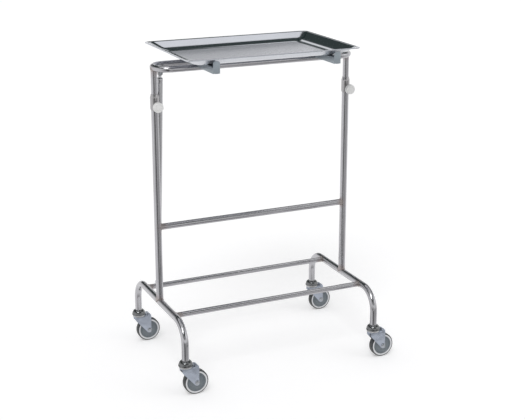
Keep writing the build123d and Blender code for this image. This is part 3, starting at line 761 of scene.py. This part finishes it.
def makeClamp(side, x):
    shape = collarShape
    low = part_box(f"{side}_collar")[0]
    top = shape["height"]
    bore, mouth, wide, lip = shape["bore"], shape["mouth"], shape["radius"], top - shape["lip"]
    outline = roundOff([
        (bore - 0.2 * mm, 0), (bore + 0.5 * mm, 0), (wide, shape["lowTaper"]),
        (wide, top - shape["topTaper"]), (mouth + 0.9 * mm, top), (mouth, top), (mouth, lip),
        (bore - 0.2 * mm, lip)], [0, 0.3, 1.6, 1.6, 0.4, 0.2, 0, 0], 4)
    place = moved(x, 0, low.z + shape["screwRise"]) @ frontward
    reach, boss, hole = shape["bossReach"], shape["bossRadius"], shape["screwHole"]
    back = reach - shape["bossDepth"]
    bossOutline = roundOff([(hole, back), (boss, back), (boss, reach), (hole, reach)], [0, 0, 0.9, 0.4])
    addPiece(f"{side}Collar", [(lathe(outline, 72), moved(x, 0, low.z)), (lathe(bossOutline, 48), place)],
             turnedSteel, "base", "polished_collar", f"{side}_collar")

    knob = knobShape
    start = reach + knob["gap"]
    face = start + knob["neck"] + knob["height"]
    head, radius, hole, cap = start + knob["neck"], knob["radius"], knob["hole"], knob["capRadius"]
    wall = radius - knob["inset"]
    knobOutline = roundOff([
        (hole, start), (knob["neckRadius"], start), (knob["neckRadius"], head), (wall, head),
        (wall, face - 1.6 * mm), (radius - 3.6 * mm, face), (cap + 2.2 * mm, face),
        (cap + 1.2 * mm, face - 1.2 * mm), (0, face - 1.2 * mm), (0, face - 4.2 * mm),
        (hole, face - 4.2 * mm)], [0, 0.6, 1.2, 2.2, 1.6, 1.6, 0.6, 0.4, 0, 0, 0], 5)
    capOutline = roundOff([(0, face - 1.4 * mm), (cap, face - 1.4 * mm), (cap, face - 0.5 * mm),
                           (0, face - 0.1 * mm)], [0, 0, 0.5, 0], 4)
    ribs = grow(ribRingTree, {
        "Count": knob["ribs"], "Ring Radius": wall - 0.25 * mm,
        "Rib Length": knob["height"] - 3.6 * mm, "Rib Radius": knob["ribRadius"],
        "Material": knobWhite})
    ribPlace = place @ moved(0, 0, head + knob["height"] / 2 - 0.4 * mm)
    body = f"{side}_clamp_handle"
    addPiece(f"{side}ClampKnob", [(lathe(knobOutline, 72), place), (lathe(capOutline, 48), place),
                                  (ribs, ribPlace)], knobWhite, body, "knob_plastic", f"{side}_clamp_knob")
    screw = screwShape
    tip, end = -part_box(f"{side}_clamp_screw")[1].y, start + 3 * mm
    shank = roundOff([(0, tip), (screw["radius"], tip), (screw["radius"], end), (0, end)], [0, 0.6, 0, 0])
    thread = grow(threadTree, {
        "Radius": screw["threadRadius"], "Pitch": screw["pitch"], "Turns": screw["turns"],
        "Ridge": screw["ridge"], "Material": boltZinc})
    threadPlace = place @ moved(0, 0, tip + 0.8 * mm)
    addPiece(f"{side}ClampScrew", [(lathe(shank, 32), place), (thread, threadPlace)], boltZinc, body,
             "screw_steel", f"{side}_clamp_screw")


makeClamp("left", leftX)
makeClamp("right", rightX)
print("clamps done")


# Lift strut, drawn along its own leaning axis

strutShape = {
    "radius": 11 * mm, "body": 550 * mm, "neck": 16 * mm, "eye": 9 * mm, "eyeWidth": 12 * mm,
    "rod": 5 * mm, "glandLip": 3 * mm, "groove": 0.7 * mm, "neckRadius": 6 * mm, "rodCover": 0.3 * mm,
    "upperBore": 4.05 * mm, "lowerBore": 4.1 * mm, "pinHead": 5.5 * mm, "pinHeadDepth": 2 * mm,
}


def makeStrut():
    upper, lower = middle("upper_strut_pin"), middle("lower_strut_pin")
    down = (lower - upper).normalized()
    length = (lower - upper).length
    axis = standing(upper, down, (0, 1, 0))         # local Z runs down the strut
    shape = strutShape
    radius, rodRadius, neck = shape["radius"], shape["rod"], shape["neck"]
    end, waist, thin = neck + shape["body"], radius - shape["groove"], shape["neckRadius"]
    body = roundOff([
        (0, thin), (thin, thin), (thin, neck), (radius - 1.5 * mm, neck), (radius, neck + 4 * mm),
        (radius, neck + 14 * mm), (waist, neck + 15 * mm), (waist, neck + 17 * mm),
        (radius, neck + 18 * mm), (radius, end - 20 * mm), (waist, end - 19 * mm),
        (waist, end - 17 * mm), (radius, end - 16 * mm), (radius, end), (0, end)],
        [0, 0.6, 1, 1.2, 2.5] + [0.5] * 8 + [0.8, 0])
    half, eye = shape["eyeWidth"] / 2, shape["eye"]

    def eyelet(bore):
        return lathe(roundOff([(bore, -half), (eye, -half), (eye, half), (bore, half)],
                              [0.4, 0.8, 0.8, 0.4]), 48)

    addPiece("strutCylinder", [(lathe(body, 56), axis), (eyelet(shape["upperBore"]), axis @ frontward)],
             strutSteel, "strut_housing", "strut_steel", "strut_cylinder")
    bore, lipEnd = rodRadius + 0.1 * mm, end + shape["glandLip"]
    gland = roundOff([
        (bore, end - 4 * mm), (radius - 0.4 * mm, end - 4 * mm), (radius - 0.4 * mm, end), (radius, end),
        (radius, lipEnd), (rodRadius + 2 * mm, lipEnd), (bore, end + 1.4 * mm)],
        [0, 0, 0, 0.2, 0.9, 0.6, 0])
    addPiece("strutGland", [(lathe(gland, 48), axis)], nylonNatural, "strut_housing", "nylon", "strut_gland")
    rodTop = (upper.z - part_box("strut_rod")[1].z) / abs(down.z) + shape["rodCover"]
    rodEnd = length - eye + 1 * mm
    rod = [(0, rodTop), (rodRadius, rodTop), (rodRadius, rodEnd), (0, rodEnd)]
    lowEye = axis @ moved(0, 0, length) @ frontward
    addPiece("strutRod", [(lathe(rod, 40), axis), (eyelet(shape["lowerBore"]), lowEye)], rodChrome,
             "strut_plunger", "rod_chrome", "strut_rod")
    for side, body, pinRadius in (("upper", "top_frame", 4 * mm), ("lower", "base", 3 * mm)):
        node = f"{side}_strut_pin"
        low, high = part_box(node)
        reach, wide = (high.y - low.y) / 2, shape["pinHead"]
        neck = reach - shape["pinHeadDepth"]
        pin = roundOff([(0, -reach), (wide, -reach), (wide, -neck), (pinRadius, -neck), (pinRadius, neck),
                        (wide, neck), (wide, reach), (0, reach)], [0, 0.7, 0.2, 0, 0, 0.2, 0.7, 0])
        place = moved(*middle(node)) @ frontward
        addPiece(f"{side}PivotPin", [(lathe(pin, 32), place)], boltZinc, body, "pin_steel", node)


makeStrut()
print("strut done")


# Casters

casterShape = {
    "tyre": 4.0 * mm, "ring": 6.0 * mm, "hub": 10 * mm, "balls": 18, "ball": 2.0 * mm, "lip": 3.0 * mm,
    "cheek": 17 * mm, "boltHead": 4.5 * mm, "nut": 5.5 * mm, "shankEnd": 6.4 * mm, "shank": 3.9 * mm,
    "bore": 4.1 * mm, "hubEnd": 14.2 * mm, "ballRing": 17.4 * mm, "domeSteps": 14,
}
guardFace = (       # centre boss, dished web with three turned grooves, up to the lip beside the pale ring
    (0.0, 1.3), (2.6, 1.3), (3.4, 0.5), (8.5, 0.1), (9.1, -0.5), (9.9, -0.5), (10.4, 0.2), (14.4, 0.0),
    (15.2, -1.5), (16.6, -1.5), (17.4, -0.1), (18.9, -0.2), (19.5, -1.6), (21.6, -1.6),
)


def wheelOutlines(radius, half):
    shape = casterShape
    core = radius - shape["tyre"]
    tyre = roundOff([
        (core - 0.2 * mm, -half + 0.8 * mm), (core + 0.4 * mm, -half), (radius - 1.4 * mm, -half + 0.7 * mm),
        (radius, -half + 3.6 * mm), (radius, half - 3.6 * mm), (radius - 1.4 * mm, half - 0.7 * mm),
        (core + 0.4 * mm, half), (core - 0.2 * mm, half - 0.8 * mm)],
        [0, 0.4, 1.2, 3, 3, 1.2, 0.4, 0], 4)
    lip = core - shape["ring"]
    hub, bore, end = shape["hub"], shape["bore"], shape["hubEnd"]
    side = [(core, 1.3 * mm), (core - 0.7 * mm, 0.5 * mm), (lip + 0.9 * mm, 0.5 * mm),
            (lip + 0.2 * mm, 1.2 * mm), (lip - 1.4 * mm, half - 2.6 * mm)]
    near = [(r, half - back) for r, back in side]
    wheel = roundOff(
        [(bore, -end), (hub, -end), (hub, -2.6 * mm)] + [(r, -z) for r, z in reversed(near)]
        + near + [(hub, 2.6 * mm), (hub, end), (bore, end)], 0.4, 2)
    inner, outer = hub + 0.3 * mm, lip - 0.4 * mm
    guard = roundOff(
        [(inner + r * mm, half + z * mm) for r, z in guardFace]
        + [(outer - 1.2 * mm, half - 0.3 * mm), (outer, half - 1.0 * mm), (outer, half - 2.4 * mm),
           (inner + 3 * mm, half - 2.4 * mm), (inner, half - 1.4 * mm)], 0.3, 2)
    return tyre, wheel, guard


def makeCaster(corner):
    shape = casterShape
    tyreLow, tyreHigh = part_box(f"{corner}_tyre")
    hub = (tyreLow + tyreHigh) / 2
    tyre, wheel, guard = wheelOutlines((tyreHigh.x - tyreLow.x) / 2, (tyreHigh.y - tyreLow.y) / 2)
    axle = moved(*hub) @ frontward
    farSide = moved(*hub) @ Matrix.Rotation(math.radians(-90), 4, "X")
    roller = f"{corner}_roller"
    label = corner.split("_")[0] + corner.split("_")[1].capitalize()
    addPiece(f"{label}Tyre", [(lathe(tyre, 96), axle)], tyreRubber, roller, "tyre_rubber", f"{corner}_tyre")
    addPiece(f"{label}Wheel", [(lathe(wheel, 96), axle)], wheelGrey, roller, "wheel_plastic",
             f"{corner}_wheel")
    addPiece(f"{label}ThreadGuards", [(lathe(guard, 80), axle), (lathe(guard, 80), farSide)],
             guardGrey, roller, "guard_plastic", f"{corner}_thread_guards")

    raceLow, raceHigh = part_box(f"{corner}_swivel_race")
    headLow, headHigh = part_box(f"{corner}_swivel_head")
    stem = (raceLow + raceHigh) / 2
    axis = moved(stem.x, stem.y, 0)
    radius, foot, low, high, top = (headHigh.x - headLow.x) / 2, headLow.z, raceLow.z, raceHigh.z, legLowZ
    dome = [(0, foot), (7.4 * mm, foot), (9.4 * mm, foot + 2 * mm), (9.4 * mm, foot + 3.5 * mm),
            (5.9 * mm, foot + 3.6 * mm), (5.9 * mm, high), (radius - 2 * mm, high),
            (radius - 0.3 * mm, high + 0.5 * mm), (radius, high + 1.2 * mm),
            (radius, high + shape["lip"] - 0.4 * mm), (radius - 0.7 * mm, high + shape["lip"])]
    rise, reach = top - high - shape["lip"] - 1.2 * mm, radius - 0.7 * mm - legRadius - 1 * mm
    for k in range(1, shape["domeSteps"] + 1):
        turn = math.radians(90 * k / shape["domeSteps"])
        dome.append((legRadius + 1 * mm + reach * math.cos(turn),
                     high + shape["lip"] + rise * math.sin(turn)))
    dome += [(legRadius + 0.6 * mm, top + 0.2 * mm), (legRadius - 0.1 * mm, top + 0.6 * mm),
             (0, top + 0.6 * mm)]
    addPiece(f"{label}SwivelHead", [(lathe(dome, 72), axis)], headChrome, "base",
             "caster_chrome", f"{corner}_swivel_head", sharp=50)
    middleZ, outer = (low + high) / 2, (raceHigh.x - raceLow.x) / 2
    race = roundOff([
        (outer - 3 * mm, low), (outer, low), (outer, middleZ - 0.6 * mm), (outer - 0.8 * mm, middleZ),
        (outer, middleZ + 0.6 * mm), (outer, high), (outer - 3 * mm, high)], 0.3, 2)
    balls = grow(ribRingTree, {
        "Count": shape["balls"], "Ring Radius": shape["ballRing"], "Rib Length": 2 * shape["ball"],
        "Rib Radius": shape["ball"], "Material": raceSteel})
    addPiece(f"{label}SwivelRace", [(lathe(race, 64), axis), (balls, moved(stem.x, stem.y, middleZ))],
             raceSteel, "base", "race_steel", f"{corner}_swivel_race")

    caster = f"{corner}_caster"
    addPiece(f"{label}Fork", softCopy(f"{corner}_fork", foldShape["fork"]), forkZinc, caster, "fork_steel",
             f"{corner}_fork")
    cheek = shape["cheek"]
    head = cheek + shape["boltHead"]
    washerTop = cheek + 1.1 * mm
    bolt = roundOff([
        (0, cheek), (8.2 * mm, cheek), (8.2 * mm, washerTop), (6.6 * mm, cheek + 1.2 * mm),
        (6.4 * mm, cheek + 3.0 * mm), (3.6 * mm, head - 0.2 * mm), (0, head)],
        [0, 0.3, 0.3, 0.3, 1.2, 1.5, 0], 4)
    washer = roundOff([(4 * mm, cheek), (8.2 * mm, cheek), (8.2 * mm, washerTop), (4 * mm, washerTop)], 0.3)
    nutTop = cheek + shape["nut"]
    nut = lathe([(4 * mm, washerTop), (6.4 * mm, washerTop), (7.3 * mm, cheek + 1.7 * mm),
                 (7.3 * mm, nutTop - 0.7 * mm), (6.3 * mm, nutTop), (4 * mm, nutTop)], 6)
    shankTop = cheek + shape["shankEnd"]
    shank = roundOff([(0, -cheek), (shape["shank"], -cheek), (shape["shank"], shankTop), (0, shankTop)],
                     [0, 0, 0.6, 0])
    addPiece(f"{label}AxleBolt", [
        (lathe(bolt, 40), axle), (lathe(washer, 40), farSide), (nut, farSide), (lathe(shank, 32), farSide)],
        boltZinc, caster, "bolt_steel", f"{corner}_axle_bolt")


for corner in corners:
    makeCaster(corner)
print("casters done")


# CAD nodes whose shape stays

keptLooks = {
    "left_clamp_pad": padBrass, "right_clamp_pad": padBrass, "strut_piston": nylonNatural,
    "left_tube_glide": nylonNatural, "right_tube_glide": nylonNatural,
}
for node, material in keptLooks.items():
    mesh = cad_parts[node].data
    if not mesh.materials:
        mesh.materials.append(material)
    for index in range(len(mesh.materials)):
        mesh.materials[index] = material


# Floor, studio and camera

white = (1, 1, 1, 1)
studio = {
    "soft": 0.62, "floorGlow": 0.26, "footReach": 0.10, "dark": (0.022, 0.036, 0.034), "floorHalf": 14.0,
    "floorTones": ((0.90, 0.90, 0.90, 1), (0.92, 0.92, 0.92, 1)), "lowBand": (0.95, 0.95, 0.95, 1),
}
aroundLevels = (        # degrees about Z from +X, and how bright metal sees the room there
    (-180, 1.0), (-166, 0.90), (-152, 0.62), (-138, 0.50), (-122, 0.07), (-106, 0.09), (-96, 0.52),
    (-78, 0.62), (-64, 0.30), (-44, 0.55), (-20, 0.85), (3, 0.80), (30, 0.95), (57, 0.85), (64, 0.85),
    (66, 0.06), (70, 0.06), (72, 1.0), (75, 1.0), (77, 0.03), (104, 0.03), (112, 0.50), (122, 0.40),
    (136, 0.50), (150, 0.85), (165, 1.0), (180, 1.0),
)
heightLevels = (        # degrees above the horizon
    (-90, 1.0), (0, 1.0), (18, 1.0), (29, 0.90), (32, 0.04), (55, 0.03), (57, 1.0), (69, 1.0), (72, 0.45),
    (78, 0.50), (84, 0.90), (90, 0.90),
)
suns = {                # place to shine from, width in degrees and strength
    "keySun": ((-1.6, -2.2, 3.4), 24, 0.75), "fillSun": ((2.6, -2.0, 2.0), 40, 0.25),
}
view = {                # fitted to the photograph: metres, degrees, and pixels of a 525 wide picture
    "place": (-1.628, -3.566, 1.785), "yaw": 24.64, "pitch": 16.24, "lens": 1139.0, "rise": 28.0,
    "width": 525.0, "sensor": 36.0,
}


def greyStops(levels, positionOf):
    return [(positionOf(degrees), (level, level, level, 1)) for degrees, level in levels]


def makeAroundGroup():      # panels and gaps round the studio, as one mask of brightness
    group, given, made = newTree("ShaderNodeTree", "roundTheStudio", {"Way": "Vector"}, {"Level": "Color"})
    x, y = partsOf(group, given["Way"])[:2]
    around = remap(group, mathOf(group, "ARCTAN2", y, x), -math.pi, math.pi)
    stops = greyStops(aroundLevels, lambda degrees: (degrees + 180) / 360)
    feed(group, made["Level"], rampOf(group, around, stops))
    return group


aroundGroup = makeAroundGroup()


def rayMasks(tree):         # what the camera sees, straight or through something, and what metal mirrors
    rays = addNode(tree, "ShaderNodeLightPath").outputs
    shown = mathOf(tree, "MAXIMUM", rays["Is Camera Ray"], rays["Is Transmission Ray"])
    return shown, rays["Is Glossy Ray"]


def makeFloor():            # white, with the stand's soft shadow; metal sees the studio's panels on it
    mesh = bpy.data.meshes.new("floor")
    half, near = studio["floorHalf"], studio["footReach"]
    mesh.from_pydata([(-half, -half, 0), (half, -half, 0), (half, half, 0), (-half, half, 0)],
                     [], [(0, 1, 2, 3)])
    floor = newObject("floor", mesh)
    material, tree, shader, place = newMaterial("paleFloor")
    shown, glossy = rayMasks(tree)
    feedAll(tree, shader, {
        "Base Color": mixColor(tree, remap(tree, noiseOf(tree, place, 1.3), 0.3, 0.7), *studio["floorTones"]),
        "Roughness": 0.8, "Specular IOR Level": 0.0, "Emission Color": white,
        "Emission Strength": times(tree, shown, studio["floorGlow"])})
    x, y = partsOf(tree, place)[:2]
    side = times(tree, mathOf(tree, "SIGN", mathOf(tree, "SUBTRACT", x, midX)), (rightX - leftX) / 2)
    leg = vectorOf(tree, plus(tree, midX, side), times(tree, mathOf(tree, "SIGN", y), stemY))
    fromLeg = addNode(tree, "ShaderNodeVectorMath", {0: place, 1: leg}, operation="SUBTRACT").outputs[0]
    away = addNode(tree, "ShaderNodeVectorMath", {0: fromLeg}, operation="LENGTH").outputs["Value"]
    far = times(tree, remap(tree, away, near, 3 * near), remap(tree, y, 0.1, 0.3, 1.0, 0.0))
    panels = placeGroup(tree, aroundGroup, Way=fromLeg)
    seen = addNode(tree, "ShaderNodeEmission", {"Color": mixColor(tree, far, white, panels["Level"])})
    either = addNode(tree, "ShaderNodeMixShader", {0: glossy, 1: shader.outputs[0], 2: seen.outputs[0]})
    output = next(node for node in tree.nodes if node.type == "OUTPUT_MATERIAL")
    feed(tree, output.inputs["Surface"], either.outputs[0])
    mesh.materials.append(material)


def makeWorld():            # white to the camera, soft to matt things, panels and dark gaps to metal
    world = bpy.data.worlds.new("studio")
    scene.world = world
    world.use_nodes = True
    tree = world.node_tree
    tree.nodes.clear()
    way = addNode(tree, "ShaderNodeTexCoord").outputs["Generated"]
    up = partsOf(tree, way)[2]
    stops = greyStops(heightLevels, lambda degrees: (math.sin(math.radians(degrees)) + 1) / 2)
    height = rampOf(tree, remap(tree, up, -1.0, 1.0), stops)
    level = mixColor(tree, remap(tree, up, 0.6, 0.8), placeGroup(tree, aroundGroup, Way=way)["Level"], white)
    level = mixColor(tree, remap(tree, up, 0.21, 0.25, 1.0, 0.0), level, studio["lowBand"])
    level = mixColor(tree, 1.0, level, height, "MULTIPLY")
    metalSees = mixColor(tree, level, (*studio["dark"], 1), white)
    soft = (studio["soft"], studio["soft"], studio["soft"] * 1.01, 1)
    shown, glossy = rayMasks(tree)
    light = mixColor(tree, shown, mixColor(tree, glossy, soft, metalSees), white)
    background = addNode(tree, "ShaderNodeBackground", {"Color": light})
    addNode(tree, "ShaderNodeOutputWorld", {"Surface": background.outputs[0]})


def addSun(name, place, angle, strength):
    data = bpy.data.lights.new(name, "SUN")
    data.angle = math.radians(angle)
    data.energy = strength
    lamp = newObject(name, data)
    lamp.location = place
    lamp.rotation_euler = (-Vector(place)).to_track_quat("-Z", "Y").to_euler()


def makeCamera():
    data = bpy.data.cameras.new("camera")
    camera = newObject("camera", data)
    scene.camera = camera
    data.sensor_width = view["sensor"]
    data.lens = view["lens"] * view["sensor"] / view["width"]
    data.shift_y = -view["rise"] / view["width"]
    camera.location = view["place"]
    camera.rotation_euler = (math.radians(90 - view["pitch"]), 0, math.radians(-view["yaw"]))


makeFloor()
makeWorld()
for sun, settings in suns.items():
    addSun(sun, *settings)
makeCamera()
print("studio done")
